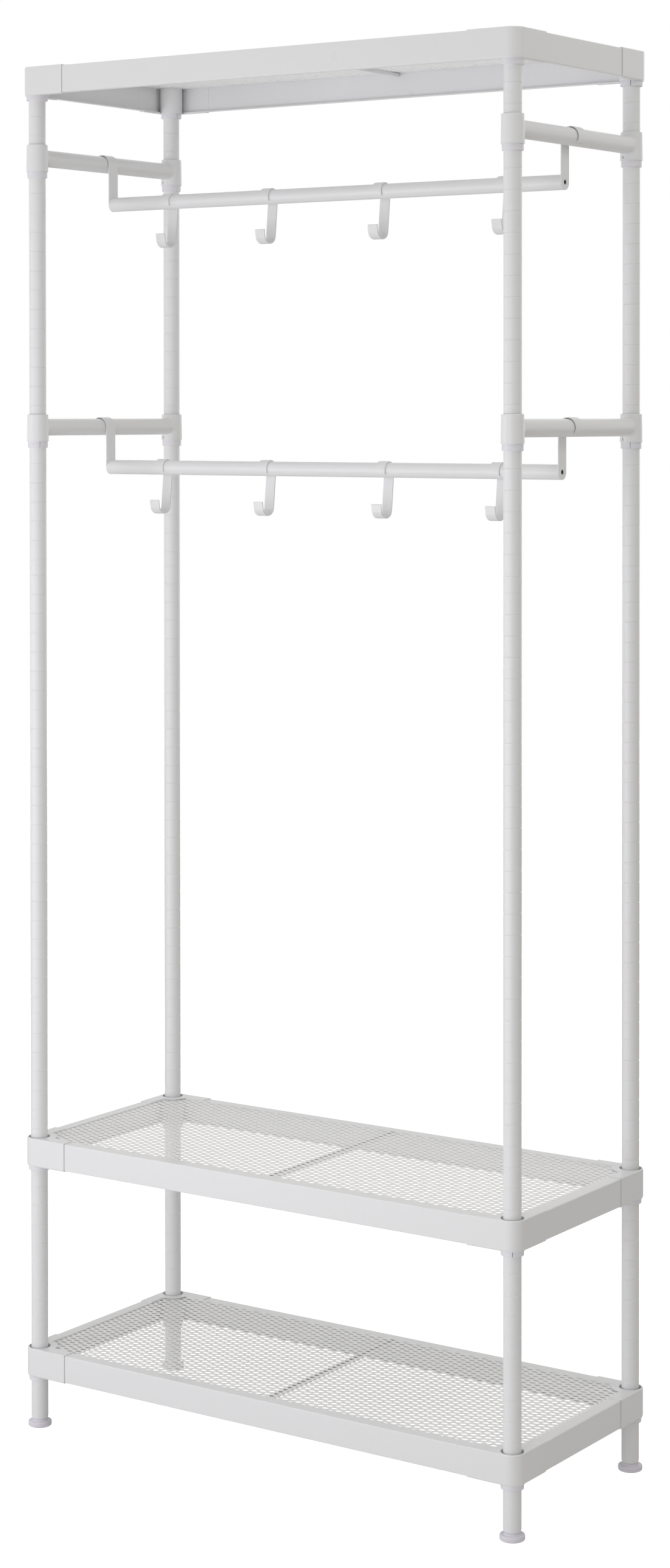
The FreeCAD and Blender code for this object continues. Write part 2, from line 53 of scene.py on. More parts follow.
MM = 0.001

# How far a cutting tool reaches past what it cuts, and how near two places count as one.
OVERRUN = 5 * MM
NEAR = MM / 10

# How near the two ends of a turned shape's seam lie when they are merged.
SEAM = MM / 1000

# The radius of the pin hole that a turned moulding keeps down its middle.
PIN_HOLE = MM / 2

# The posts are alike and mirror one another, so this one is measured for all.
CORNER_POST = "post_back_right_upper"

X_AXIS = Vector((1, 0, 0))
Y_AXIS = Vector((0, 1, 0))
Z_AXIS = Vector((0, 0, 1))

Piece = bpy.types.Object
Profile = Sequence[tuple[float, float]]


class Side(Enum):
    """The four corners of the stand, with which way each lies from the middle."""

    FRONT_LEFT = ("front_left", -1, -1)
    FRONT_RIGHT = ("front_right", 1, -1)
    BACK_LEFT = ("back_left", -1, 1)
    BACK_RIGHT = ("back_right", 1, 1)

    def __init__(self, label: str, sign_x: int, sign_y: int) -> None:
        """Keep the corner's name and its two signs.

        Args:
            label: the corner's name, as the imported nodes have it.
            sign_x: 1 on the right and -1 on the left.
            sign_y: 1 at the back and -1 at the front.
        """
        self.label = label
        self.sign_x = sign_x
        self.sign_y = sign_y

    def place(self, post: Vector, height: float) -> Vector:
        """The place on this corner's post axis at a height, mirrored from the back right post's."""
        return Vector((self.sign_x * post.x, self.sign_y * post.y, height))


class Section(Enum):
    """The three tube sections of a post, from the floor up."""

    LOWER = "lower"
    MIDDLE = "middle"
    UPPER = "upper"


class Tier(Enum):
    """The three shelves."""

    TOP = "top"
    MIDDLE = "middle"
    BOTTOM = "bottom"


class Level(Enum):
    """The two heights at which a pair of side bars carries a hanger rod."""

    UPPER = "upper"
    LOWER = "lower"


class Part(Enum):
    """The three kinds of mesh part that can be selected."""

    VERTS = "verts"
    EDGES = "edges"
    FACES = "faces"


class Boolean(Enum):
    """What is done to a piece with a tool."""

    CUT = "DIFFERENCE"
    UNITE = "UNION"


class Slot(Enum):
    """The finishes that the record names."""

    COAT = "white_powder_coat"
    WEDGE = "wedge_plastic"
    PLASTIC = "white_plastic"
    ZINC = "zinc_plated_steel"


# The bench: steps that a modeller takes by hand

def deselect_all() -> None:
    """Leave edit mode and deselect every object."""
    if bpy.context.mode != "OBJECT":
        bpy.ops.object.mode_set(mode="OBJECT")
    bpy.ops.object.select_all(action="DESELECT")


def take(*pieces: Piece) -> None:
    """Select some pieces alone.

    Args:
        pieces: the pieces, of which the first becomes the active one.
    """
    deselect_all()
    for piece in pieces:
        piece.select_set(True)
    bpy.context.view_layer.objects.active = pieces[0]


@contextmanager
def editing(piece: Piece) -> Iterator[None]:
    """Hold a piece in edit mode, picking vertices, with nothing selected at the start.

    Args:
        piece: the piece that is edited.
    """
    take(piece)
    bpy.ops.object.mode_set(mode="EDIT")
    bpy.context.tool_settings.mesh_select_mode = (True, False, False)
    bpy.ops.mesh.select_all(action="DESELECT")
    yield
    bpy.ops.object.mode_set(mode="OBJECT")


def middle(part: bmesh.types.BMEdge | bmesh.types.BMFace) -> Vector:
    """The middle of an edge or a face."""
    return sum((vert.co for vert in part.verts), Vector()) / len(part.verts)


def select(piece: Piece, kind: Part, test: Callable[..., bool]) -> None:
    """In edit mode, select only the parts that pass a test.

    Args:
        piece: the piece being edited.
        kind: vertices, edges or faces.
        test: says whether one such part is selected.
    """
    bpy.context.tool_settings.mesh_select_mode = tuple(kind is other for other in Part)
    bpy.ops.mesh.select_all(action="DESELECT")
    mesh = bmesh.from_edit_mesh(piece.data)
    for part in getattr(mesh, kind.value):
        if test(part):
            part.select_set(True)
    mesh.select_flush_mode()
    bmesh.update_edit_mesh(piece.data)


def face_outwards() -> None:
    """In edit mode, point every face outwards."""
    bpy.ops.mesh.select_all(action="SELECT")
    bpy.ops.mesh.normals_make_consistent(inside=False)


def modify(piece: Piece, kind: str, **settings: object) -> None:
    """Add a modifier and apply it.

    Args:
        piece: the piece that gets it.
        kind: the modifier's type.
        settings: its settings by name.
    """
    take(piece)
    bpy.ops.object.modifier_add(type=kind)
    added = piece.modifiers[-1]
    for name, value in settings.items():
        setattr(added, name, value)
    bpy.ops.object.modifier_apply(modifier=added.name)


def combine(piece: Piece, tool: Piece, operation: Boolean) -> None:
    """Cut a piece with a tool or unite the two, which uses the tool up."""
    modify(piece, "BOOLEAN", object=tool, operation=operation.value, solver="EXACT")
    bpy.data.objects.remove(tool)


def settle(piece: Piece) -> Piece:
    """Bring a piece's own turn, scale and place into its mesh.

    Args:
        piece: the piece.

    Returns:
        The same piece.
    """
    take(piece)
    bpy.ops.object.transform_apply(location=True, rotation=True, scale=True)
    return piece


def copied(piece: Piece, place: Vector, turn: float = 0.0, flip: Sequence[float] = (1, 1, 1)) -> Piece:
    """Copy a piece with its own mesh.

    Args:
        piece: the piece that is copied.
        place: how far the copy is moved.
        turn: the turn about the upright axis, in degrees.
        flip: the scale along each axis, with minus one where the copy is mirrored.

    Returns:
        The copy, with its place in its mesh.
    """
    take(piece)
    bpy.ops.object.duplicate()
    twin = bpy.context.active_object
    twin.scale = flip
    twin.rotation_euler.z = math.radians(turn)
    twin.location = place
    return settle(twin)


def joined(pieces: Sequence[Piece]) -> Piece:
    """Join pieces into one.

    Args:
        pieces: the pieces, of which the first takes in the others.

    Returns:
        The first piece.
    """
    take(*pieces)
    bpy.ops.object.join()
    return pieces[0]


def block(low: Vector, high: Vector) -> Piece:
    """A block between two corners.

    Args:
        low: its corner with the least coordinates.
        high: its corner with the greatest.

    Returns:
        The block.
    """
    deselect_all()
    bpy.ops.mesh.primitive_cube_add(size=1, location=(low + high) / 2, scale=high - low)
    return settle(bpy.context.active_object)


def drum(radius: float, start: Vector, end: Vector, segments: int = 64) -> Piece:
    """A round bar between two points, used whole or as a cutting tool.

    Args:
        radius: its radius.
        start: the middle of one end.
        end: the middle of the other.
        segments: how many sides it has.

    Returns:
        The bar.
    """
    deselect_all()
    along = end - start
    turn = along.to_track_quat("Z", "Y").to_euler()
    bpy.ops.mesh.primitive_cylinder_add(
        vertices=segments, radius=radius, depth=along.length, location=(start + end) / 2, rotation=turn)
    return settle(bpy.context.active_object)


def turned(profile: Profile, segments: int = 64) -> Piece:
    """Turn a closed profile about the upright axis, ring by ring.

    Args:
        profile: (radius, height) points, none of them on the axis.
        segments: how many sides the turned shape has.

    Returns:
        The turned piece, about the origin's upright axis.
    """
    rings = [*profile, profile[0]]
    radius, height = rings[0]
    deselect_all()
    bpy.ops.mesh.primitive_circle_add(
        vertices=segments, radius=radius, fill_type="NOTHING", location=(0, 0, height))
    piece = settle(bpy.context.active_object)
    with editing(piece):
        bpy.ops.mesh.select_all(action="SELECT")
        for (radius, height), (next_radius, next_height) in zip(rings, rings[1:]):
            rise = (0, 0, next_height - height)
            bpy.ops.mesh.extrude_region_move(TRANSFORM_OT_translate={"value": rise})
            scale = next_radius / radius
            bpy.ops.transform.resize(value=(scale, scale, 1), center_override=(0, 0, next_height))
        bpy.ops.mesh.select_all(action="SELECT")
        bpy.ops.mesh.remove_doubles(threshold=SEAM)
        face_outwards()
    return piece


def rounded(centre: tuple[float, float], radius: float, start: float, turn: float,
            steps: int) -> list[tuple[float, float]]:
    """Round off a corner of a profile that is turned.

    Args:
        centre: the (radius, height) about which it is rounded.
        radius: the radius of the rounding.
        start: the angle at which it starts, in degrees.
        turn: how far it turns, in degrees.
        steps: how many straight steps stand for it.

    Returns:
        The (radius, height) points, the start and the end among them.
    """
    angles = [math.radians(start + turn * step / steps) for step in range(steps + 1)]
    return [(centre[0] + radius * math.cos(angle), centre[1] + radius * math.sin(angle))
            for angle in angles]


def arc(centre: Vector, start: Vector, axis: Vector, degrees: float, steps: int) -> list[Vector]:
    """Points round an arc, from a start point onwards.

    Args:
        centre: the arc's centre.
        start: the point where it begins, which is the first point returned.
        axis: the axis it turns about.
        degrees: how far it turns, by the right-hand rule.
        steps: how many straight steps stand for it.

    Returns:
        The points, the start and the end among them.
    """
    arm = start - centre
    angle = math.radians(degrees) / steps
    return [centre + Matrix.Rotation(angle * step, 3, axis) @ arm for step in range(steps + 1)]


def drawn(path: Sequence[Vector], width: Vector) -> Piece:
    """Draw a line point by point and sweep it to a strip without thickness.

    Args:
        path: points along the strip.
        width: the sweep that gives the strip its width; the path runs along its middle.

    Returns:
        The strip.
    """
    deselect_all()
    bpy.ops.mesh.primitive_plane_add(size=MM)
    strip = bpy.context.active_object
    with editing(strip):
        bpy.ops.mesh.select_all(action="SELECT")
        bpy.ops.mesh.merge(type="CENTER")
        bpy.ops.transform.translate(value=path[0] - width / 2)
        for here, there in zip(path, path[1:]):
            bpy.ops.mesh.extrude_region_move(TRANSFORM_OT_translate={"value": there - here})
        bpy.ops.mesh.select_all(action="SELECT")
        bpy.ops.mesh.extrude_region_move(TRANSFORM_OT_translate={"value": width})
        face_outwards()
    return strip


def thickened(sheet: Piece, thickness: float, offset: float = 0.0) -> Piece:
    """Give a thin sheet its thickness, to both sides unless an offset says which."""
    modify(sheet, "SOLIDIFY", thickness=thickness, offset=offset, use_even_offset=True)
    return sheet


def eased(piece: Piece, radius: float, angle: float = 50.0, steps: int = 2) -> Piece:
    """Ease a piece's sharp edges.

    Args:
        piece: the piece.
        radius: how wide each edge is eased.
        angle: edges that bend by more than this are eased, in degrees.
        steps: how many faces round each edge off.

    Returns:
        The same piece.
    """
    modify(piece, "BEVEL", width=radius, segments=steps, limit_method="ANGLE",
           angle_limit=math.radians(angle), use_clamp_overlap=True)
    return piece


def shaded(piece: Piece, angle: float = 35.0, weighted: bool = True) -> Piece:
    """Point the faces outwards and shade the piece smooth, except over sharp edges.

    Args:
        piece: the piece.
        angle: edges that bend by more than this stay sharp, in degrees.
        weighted: whether large faces lead the shading next to small ones.

    Returns:
        The same piece.
    """
    with editing(piece):
        face_outwards()
    take(piece)
    bpy.ops.object.shade_smooth_by_angle(angle=math.radians(angle))
    if weighted:
        modify(piece, "WEIGHTED_NORMAL", keep_sharp=True)
    return piece


def handed_over(piece: Piece, node: str, work: str, finish: "Finish", body: str = "stand") -> None:
    """Name and dress a finished piece, and give it to the body that carries it.

    Args:
        piece: the finished piece.
        node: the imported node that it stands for.
        work: what it is, or how it was made, which ends its name.
        finish: the finish that it gets.
        body: the body that it rides on.
    """
    name = f"{node}_{work}"
    piece.name = name
    piece.data.name = name
    piece.data.materials.clear()
    piece.data.materials.append(finish.material())
    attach(piece, body)
    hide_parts(node)
    LOG.info("%s: %d faces, on %s", name, len(piece.data.polygons), body)


def box_middle(node: str) -> Vector:
    """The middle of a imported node's box."""
    low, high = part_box(node)
    return (Vector(low) + Vector(high)) / 2


def box_size(node: str, axis: int) -> float:
    """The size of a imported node's box along one axis."""
    low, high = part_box(node)
    return high[axis] - low[axis]


# Finishes

def linear(colour: str) -> tuple[float, float, float, float]:
    """Turn an sRGB hex colour into the linear colour that a shader takes.

    Args:
        colour: a number sign and six hex digits.

    Returns:
        Red, green, blue and an alpha of 1.
    """
    channels = [int(colour[place:place + 2], 16) / 255 for place in (1, 3, 5)]
    low_limit, low_slope, offset, power = 0.04045, 12.92, 0.055, 2.4
    values = [value / low_slope if value <= low_limit else ((value + offset) / (1 + offset)) ** power
              for value in channels]
    return (values[0], values[1], values[2], 1.0)


def empty_tree(owner: bpy.types.Material | bpy.types.World) -> bpy.types.NodeTree:
    """Give a material or the world a node tree with nothing in it.

    Args:
        owner: the material or the world.

    Returns:
        The empty tree.
    """
    owner.use_nodes = True
    owner.node_tree.nodes.clear()
    return owner.node_tree


def add_node(tree: bpy.types.NodeTree, kind: str, settings: dict | None = None,
             links: dict | None = None) -> bpy.types.Node:
    """Add a node with its settings and links.

    Args:
        tree: the node tree.
        kind: the node's type.
        settings: values by input socket, or by property where no socket has that name.
        links: source sockets by input socket.

    Returns:
        The new node.
    """
    node = tree.nodes.new(kind)
    for name, value in (settings or {}).items():
        if isinstance(name, int) or name in node.inputs:
            node.inputs[name].default_value = value
        else:
            setattr(node, name, value)
    for name, source in (links or {}).items():
        tree.links.new(source, node.inputs[name])
    return node


@dataclass(frozen=True)
class Finish:
    """A surface with a fine grain in its colour and relief, and a slow drift in its gloss.

    Attributes:
        name: what the finish is and how its surface was made.
        slot: the record's slot for it; not used.
        colour: its main colour.
        grain_colour: the colour that the grain draws it towards.
        drift_size: how wide one patch of the gloss's drift is.
        grain_size: how wide one grain is.
        grain_height: how high the grain's relief stands.
        roughness: its middle roughness.
        roughness_play: how far the roughness strays either way.
        metallic: 1 for bare metal, 0 for paint and plastic.
        translucence: how much light goes in and comes out again beside where it went in.
    """

    name: str
    slot: Slot
    colour: str
    grain_colour: str
    drift_size: float
    grain_size: float
    grain_height: float
    roughness: float
    roughness_play: float
    metallic: float = 0.0
    translucence: float = 0.0

    def material(self) -> bpy.types.Material:
        """The material of this finish, made on first use."""
        made = bpy.data.materials.get(self.name)
        return made if made else self.build()

    def build(self) -> bpy.types.Material:
        """Make the material's nodes.

        Returns:
            The new material.
        """
        material = bpy.data.materials.new(self.name)
        tree = empty_tree(material)
        place = add_node(tree, "ShaderNodeTexCoord").outputs["Object"]
        drift = add_node(tree, "ShaderNodeTexNoise",
                         {"Scale": 1 / self.drift_size, "Detail": 2.0, "Roughness": 0.5},
                         {"Vector": place})
        grain = add_node(tree, "ShaderNodeTexNoise",
                         {"Scale": 1 / self.grain_size, "Detail": 3.0, "Roughness": 0.55},
                         {"Vector": place})
        colour = add_node(tree, "ShaderNodeMix",
                          {"data_type": "RGBA", 6: linear(self.colour), 7: linear(self.grain_colour)},
                          {"Factor": grain.outputs["Fac"]})
        gloss = add_node(tree, "ShaderNodeMapRange",
                         {"To Min": self.roughness - self.roughness_play,
                          "To Max": self.roughness + self.roughness_play},
                         {"Value": drift.outputs["Fac"]})
        relief = add_node(tree, "ShaderNodeBump",
                          {"Strength": 1.0, "Distance": self.grain_height},
                          {"Height": grain.outputs["Fac"]})
        shader = add_node(tree, "ShaderNodeBsdfPrincipled",
                          {"Metallic": self.metallic, "Subsurface Weight": self.translucence,
                           "Subsurface Scale": 2 * MM},
                          {"Base Color": colour.outputs[2], "Roughness": gloss.outputs["Result"],
                           "Normal": relief.outputs["Normal"]})
        add_node(tree, "ShaderNodeOutputMaterial", None, {"Surface": shader.outputs["BSDF"]})
        return material


# Powder coat: polyester powder sprayed on steel and baked. It flows into a smooth, slightly pebbled
# skin, so its highlights are soft and broad and the white is faintly grey.
POWDER_COAT = Finish(
    "white_powder_coat_on_steel", Slot.COAT, colour="#EFEFF1", grain_colour="#EAEBED",
    drift_size=90 * MM, grain_size=1.6 * MM, grain_height=0.012 * MM,
    roughness=0.28, roughness_play=0.015)

# The shelf net is coated as the rest, but its colour is painted almost pure white: a painted
# brightening that makes up for the shade that the strands cast on one another and that the nets
# above cast on them. It is also less glossy.
NET_COAT_PAINTED_BRIGHT = Finish(
    "white_powder_coat_on_expanded_steel", Slot.COAT, colour="#FCFCFC", grain_colour="#F8F8F9",
    drift_size=40 * MM, grain_size=1.2 * MM, grain_height=0.02 * MM,
    roughness=0.36, roughness_play=0.03)

# The wedges are injection moulded in polypropylene: faintly lavender beside the paint, a little
# translucent, with the satin of a fine spark-eroded mould.
WEDGE_PLASTIC = Finish(
    "moulded_faintly_lavender_polypropylene", Slot.WEDGE, colour="#EDECF2", grain_colour="#E8E7ED",
    drift_size=30 * MM, grain_size=0.8 * MM, grain_height=0.01 * MM,
    roughness=0.42, roughness_play=0.03, translucence=0.15)

# The feet and caps are moulded in a harder nylon, greyer than the wedges.
FOOT_PLASTIC = Finish(
    "moulded_lavender_grey_nylon", Slot.PLASTIC, colour="#E6E3EB", grain_colour="#DEDBE5",
    drift_size=25 * MM, grain_size=0.8 * MM, grain_height=0.012 * MM,
    roughness=0.48, roughness_play=0.04, translucence=0.1)

# Bright zinc plating on the studs and inserts that are out of sight inside the posts.
ZINC_PLATE = Finish(
    "bright_zinc_plate", Slot.ZINC, colour="#C4C7CC", grain_colour="#B4B8BF",
    drift_size=12 * MM, grain_size=0.6 * MM, grain_height=0.01 * MM,
    roughness=0.32, roughness_play=0.06, metallic=1.0)


# Posts

@dataclass
class Posts:
    """The four posts, each of three grooved tube sections, and their top caps."""

    groove_pitch: float = 25.4 * MM
    groove_depth: float = 0.48 * MM
    groove_half_width: float = 0.65 * MM
    groove_floor_share: float = 0.25
    end_margin: float = 8.0 * MM
    wall: float = 1.2 * MM
    end_ease: float = 0.4 * MM
    foot_bevel: float = 0.6 * MM
    foot_bevel_height: float = 3.0 * MM
    cap_overlap: float = 12.0 * MM
    cap_crown: float = 0.8 * MM
    cap_steps: int = 5
    first_grooves: dict[Section, float] = field(default_factory=lambda: {
        Section.LOWER: 55.9 * MM, Section.MIDDLE: 21.2 * MM, Section.UPPER: 25.8 * MM})

    def profile(self, section: Section, bottom: float, top: float,
                radius: float) -> list[tuple[float, float]]:
        """The turned profile of one section.

        Args:
            section: which of the three it is.
            bottom: the height of its bottom end.
            top: the height of its top end.
            radius: the tube's outer radius.

        Returns:
            (radius, height) points, up the outside and down the bore.
        """
        bore = radius - self.wall
        floor = self.groove_half_width * self.groove_floor_share
        at_foot = section is Section.LOWER
        bevel = self.foot_bevel if at_foot else self.end_ease
        points = [(bore, bottom), (radius - bevel, bottom)]
        points.append((radius, bottom + (self.foot_bevel_height if at_foot else bevel)))
        height = bottom + self.first_grooves[section]
        while height < top - self.end_margin:
            points.append((radius, height - self.groove_half_width))
            points.append((radius - self.groove_depth, height - floor))
            points.append((radius - self.groove_depth, height + floor))
            points.append((radius, height + self.groove_half_width))
            height += self.groove_pitch
        points += [(radius, top - self.end_ease), (radius - self.end_ease, top), (bore, top)]
        return points

    def build_sections(self) -> None:
        """Turn one tube for each section and stand a copy at each corner."""
        for section in Section:
            measured = f"post_front_left_{section.value}"
            low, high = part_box(measured)
            profile = self.profile(section, low[2], high[2], box_size(measured, 0) / 2)
            model = shaded(turned(profile), weighted=False)
            for side in Side:
                node = f"post_{side.label}_{section.value}"
                place = box_middle(node)
                tube = copied(model, Vector((place.x, place.y, 0)))
                handed_over(tube, node, "tube", POWDER_COAT)
            bpy.data.objects.remove(model)

    def build_caps(self) -> None:
        """Turn one top cap, with its plug inside the tube, and set one in each post."""
        low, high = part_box("post_top_caps")
        plug_top = low[2] + self.cap_overlap
        radius = box_size(CORNER_POST, 0) / 2
        bore = radius - self.wall
        profile = [(bore, low[2]), (bore, plug_top), (radius, plug_top)]
        profile += rounded((radius - self.cap_crown, high[2] - self.cap_crown), self.cap_crown,
                           0, 90, self.cap_steps)
        profile += [(PIN_HOLE, high[2]), (PIN_HOLE, low[2])]
        model = turned(profile)
        places = [box_middle(f"post_{side.label}_upper") for side in Side]
        caps = [copied(model, Vector((place.x, place.y, 0))) for place in places]
        bpy.data.objects.remove(model)
        handed_over(shaded(joined(caps)), "post_top_caps", "moulding", FOOT_PLASTIC)

    def build(self) -> None:
        """Make the posts and their caps."""
        self.build_sections()
        self.build_caps()


# Shelves

@dataclass
class Shelf:
    """One shelf: folded rails, pressed corner brackets, an expanded-metal net and a channel brace."""

    tier: Tier
    sheet: float = 1.0 * MM
    rail_flange: float = 17.0 * MM
    rail_lip: float = 8.0 * MM
    rail_bend: float = 1.4 * MM
    joggle: float = 0.6 * MM
    joggle_run: float = 0.5 * MM
    bend_steps: int = 4
    leg_x: float = 70.7 * MM
    leg_y: float = 68.0 * MM
    bracket_flange: float = 18.0 * MM
    bracket_lip: float = 8.0 * MM
    top_bend: float = 1.2 * MM
    low_bend: float = 2.4 * MM
    sleeve_gap: float = 3.1 * MM
    sleeve_wall: float = 1.2 * MM
    gusset_margin: float = 8.6 * MM
    corner_steps: int = 12
    strand: float = 3.5 * MM
    net_thickness: float = 0.5 * MM
    long_way: float = 20.5 * MM
    short_way: float = 10.0 * MM
    net_phase: tuple[float, float] = (6.0 * MM, 4.1 * MM)
    net_clearance: float = 17.0 * MM
    net_merge: float = 0.05 * MM
    spare_diamonds: int = 3

    def rail(self, half_length: float, outer: float, bottom: float, top: float, under: float) -> Piece:
        """Fold one rail that runs along X, with its outer face towards the back and its ends joggled in.

        Args:
            half_length: half the rail's length.
            outer: how far back its outer face is.
            bottom: the height of its lower side.
            top: the height of its upper side.
            under: how much of each end lies under a corner bracket.

        Returns:
            The rail.
        """
        half = self.sheet / 2
        bend = self.rail_bend - half
        web = outer - half
        high_centre = Vector((0, web - bend, top - half - bend))
        low_centre = Vector((0, web - bend, bottom + half + bend))
        path = [Vector((0, outer - self.rail_flange, top - half))]
        path += arc(high_centre, high_centre + bend * Z_AXIS, X_AXIS, -90, self.bend_steps)
        path += arc(low_centre, low_centre + bend * Y_AXIS, X_AXIS, -90, self.bend_steps)
        path.append(Vector((0, outer - self.rail_lip, bottom + half)))
        rail = thickened(drawn(path, 2 * half_length * X_AXIS), self.sheet)
        reach = half_length - under
        with editing(rail):
            for plane in (reach, reach + self.joggle_run, -reach, -reach - self.joggle_run):
                bpy.ops.mesh.select_all(action="SELECT")
                bpy.ops.mesh.bisect(plane_co=plane * X_AXIS, plane_no=X_AXIS)
            select(rail, Part.VERTS, lambda vert: abs(vert.co.x) > reach + self.joggle_run / 2)
            bpy.ops.transform.translate(value=(0, -self.joggle, 0))
        return rail

    def build_rails(self) -> None:
        """Fold the two long rails and the two short ones."""
        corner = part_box(f"{self.tier.value}_shelf_corner_brackets")[1]
        node = f"{self.tier.value}_shelf_long_rails"
        low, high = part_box(node)
        under = high[0] - (corner[0] - self.leg_x) + self.joggle_run
        back = self.rail(high[0], high[1], low[2], high[2], under)
        front = copied(back, Vector(), turn=180)
        handed_over(shaded(joined([back, front])), node, "folded", POWDER_COAT)
        node = f"{self.tier.value}_shelf_short_rails"
        low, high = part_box(node)
        under = high[1] - (corner[1] - self.leg_y) + self.joggle_run
        model = self.rail(high[1], high[0], low[2], high[2], under)
        right = copied(model, Vector(), turn=-90)
        left = copied(model, Vector(), turn=90)
        bpy.data.objects.remove(model)
        handed_over(shaded(joined([right, left])), node, "folded", POWDER_COAT)

    def bracket(self, corner_radius: float, post_radius: float, height: float) -> Piece:
        """Press one corner bracket for the back right post, about that post's axis, its top at 0.

        Args:
            corner_radius: the radius of its outer corner.
            post_radius: the post's radius.
            height: the bracket's height.

        Returns:
            The bracket.
        """
        end_x = corner_radius - self.leg_x
        end_y = corner_radius - self.leg_y
        bore = post_radius + self.sleeve_gap
        sleeve_radius = bore + self.sleeve_wall
        shell = block(Vector((end_x, end_y, -height)), Vector((corner_radius, corner_radius, 0)))
        with editing(shell):
            select(shell, Part.EDGES, lambda edge: (
                abs(middle(edge).x - corner_radius) < NEAR and abs(middle(edge).y - corner_radius) < NEAR))
            bpy.ops.mesh.bevel(
                offset=corner_radius, segments=self.corner_steps, affect="EDGES", clamp_overlap=False)
            select(shell, Part.FACES, lambda face: (
                middle(face).x < end_x + NEAR or middle(face).y < end_y + NEAR))
            bpy.ops.mesh.delete(type="FACE")
            for bend, rim in ((self.top_bend, 0), (self.low_bend, -height)):
                select(shell, Part.EDGES, lambda edge: (
                    len(edge.link_faces) == 2 and all(abs(vert.co.z - rim) < NEAR for vert in edge.verts)))
                bpy.ops.mesh.bevel(offset=bend, segments=self.bend_steps, affect="EDGES")
            face_outwards()
        thickened(shell, self.sheet, -1.0)
        flange = corner_radius - self.bracket_flange
        window = block(Vector((end_x - OVERRUN, end_y - OVERRUN, -OVERRUN)),
                       Vector((flange, flange, OVERRUN)))
        gusset = drum(sleeve_radius + self.gusset_margin, -2 * OVERRUN * Z_AXIS, 2 * OVERRUN * Z_AXIS)
        combine(window, gusset, Boolean.CUT)
        combine(shell, window, Boolean.CUT)
        lip = corner_radius - self.bracket_lip
        combine(shell, block(Vector((end_x - OVERRUN, end_y - OVERRUN, -height - OVERRUN)),
                             Vector((lip, lip, -height + OVERRUN))), Boolean.CUT)
        combine(shell, drum(sleeve_radius, -height * Z_AXIS, Vector()), Boolean.UNITE)
        combine(shell, drum(bore, -(height + OVERRUN) * Z_AXIS, OVERRUN * Z_AXIS), Boolean.CUT)
        return shell

    def build_brackets(self) -> None:
        """Press one bracket and set a mirrored copy at each corner."""
        node = f"{self.tier.value}_shelf_corner_brackets"
        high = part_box(node)[1]
        post = box_middle(CORNER_POST)
        model = self.bracket(high[0] - post.x, box_size(CORNER_POST, 0) / 2, box_size(node, 2))
        brackets = [copied(model, side.place(post, high[2]), flip=(side.sign_x, side.sign_y, 1))
                    for side in Side]
        bpy.data.objects.remove(model)
        handed_over(shaded(joined(brackets)), node, "pressed", POWDER_COAT)

    def build_net(self) -> None:
        """Make one diamond of the expanded metal, repeat it over the shelf and give it its thickness."""
        node = f"{self.tier.value}_shelf_mesh"
        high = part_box(node)[1]
        post = box_middle(CORNER_POST)
        half_long = self.long_way / 2
        half_short = self.short_way / 2
        deselect_all()
        bpy.ops.mesh.primitive_circle_add(vertices=4, radius=1, fill_type="NGON")
        net = bpy.context.active_object
        net.scale = (half_long, half_short, 1)
        settle(net)
        with editing(net):
            bpy.ops.mesh.select_all(action="SELECT")
            bpy.ops.mesh.inset(thickness=self.strand / 2)
            bpy.ops.mesh.delete(type="FACE")
        net = joined([net, copied(net, Vector((half_long, half_short, 0)))])
        columns = int(2 * high[0] / self.long_way) + self.spare_diamonds
        rows = int(2 * high[1] / self.short_way) + self.spare_diamonds
        for count, step in ((columns, self.long_way * X_AXIS), (rows, self.short_way * Y_AXIS)):
            modify(net, "ARRAY", count=count, use_relative_offset=False, use_constant_offset=True,
                   constant_offset_displace=step, use_merge_vertices=True,
                   merge_threshold=self.net_merge)
        phase_x, phase_y = self.net_phase
        start_x = phase_x - self.long_way * math.ceil((high[0] + phase_x) / self.long_way)
        start_y = phase_y - self.short_way * math.ceil((high[1] + phase_y) / self.short_way)
        net.location = (start_x, start_y, high[2])
        settle(net)

        def at_sleeve(face: bmesh.types.BMFace) -> bool:
            """Whether a face of the net lies at a corner bracket's sleeve.

            Args:
                face: a face of the net.

            Returns:
                True where the net has to make way.
            """
            spot = middle(face)
            across = Vector((abs(spot.x) - post.x, abs(spot.y) - post.y))
            return across.length < self.net_clearance or (across.x > 0 and across.y > 0)

        with editing(net):
            for normal in (X_AXIS, -X_AXIS, Y_AXIS, -Y_AXIS):
                reach = high[0] if normal.x else high[1]
                bpy.ops.mesh.select_all(action="SELECT")
                bpy.ops.mesh.bisect(plane_co=normal * reach, plane_no=normal, clear_outer=True)
            select(net, Part.FACES, at_sleeve)
            bpy.ops.mesh.delete(type="FACE")
            face_outwards()
        thickened(net, self.net_thickness, -1.0)
        with editing(net):
            face_outwards()
        # The net's almost pure white is a painted brightening against the shade among its strands.
        handed_over(net, node, "net", NET_COAT_PAINTED_BRIGHT)

    def build_brace(self) -> None:
        """Fold the channel under the net, open at the top."""
        node = f"{self.tier.value}_shelf_brace"
        low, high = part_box(node)
        half = self.sheet / 2
        left, right = low[0] + half, high[0] - half
        floor = low[2] + half
        path = [Vector((left, 0, high[2])), Vector((left, 0, floor)),
                Vector((right, 0, floor)), Vector((right, 0, high[2]))]
        channel = thickened(drawn(path, box_size(node, 1) * Y_AXIS), self.sheet)
        handed_over(shaded(channel), node, "channel", POWDER_COAT)

    def build(self) -> None:
        """Make all the pieces of the shelf."""
        self.build_rails()
        self.build_brackets()
        self.build_net()
        self.build_brace()


# Split wedges

